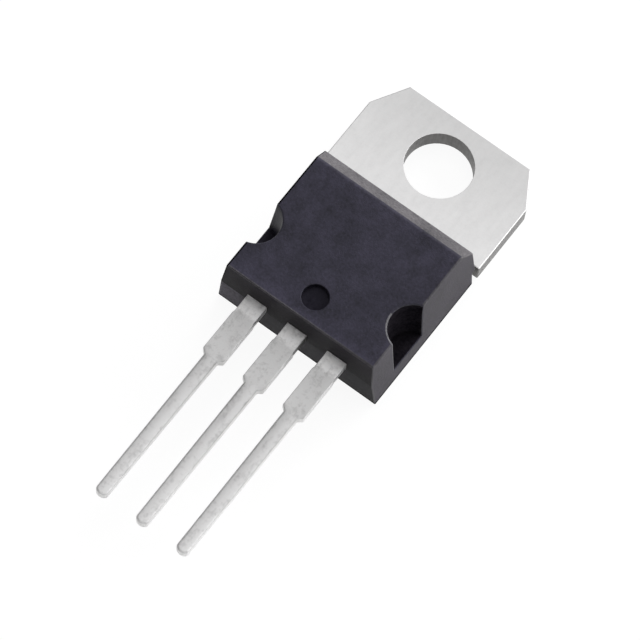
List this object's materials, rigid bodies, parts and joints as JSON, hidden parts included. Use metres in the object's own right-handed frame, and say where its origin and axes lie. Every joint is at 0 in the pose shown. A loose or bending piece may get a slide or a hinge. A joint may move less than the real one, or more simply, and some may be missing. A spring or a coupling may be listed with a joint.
{
  "type": "power mosfet",
  "caption": "Moulded power transistor with a drilled metal mounting tab and straight flat leads for a through-hole board.",
  "frame": {"origin": "centre of the mounting hole, on the back face", "axes": "+Z out of the front face along the mounting hole, +Y from the leads to the tab's free end, +X to the right seen from the front; gate, drain and source leads run from -X to +X"},
  "size_m": [0.0102, 0.0287, 0.0046],
  "materials": {
    "mold_compound": "satin",
    "tinned_copper": "satin",
    "silicon": "gloss",
    "solder": "satin",
    "bond_wire": "satin"
  },
  "bodies": {
    "root": {"mold_body": "mold_compound", "tab_and_drain_lead": "tinned_copper", "gate_lead": "tinned_copper", "source_lead": "tinned_copper", "silicon_chip": "silicon", "chip_solder": "solder", "gate_wire": "bond_wire", "source_wire_1": "bond_wire", "source_wire_2": "bond_wire"}
  },
  "joints": []
}
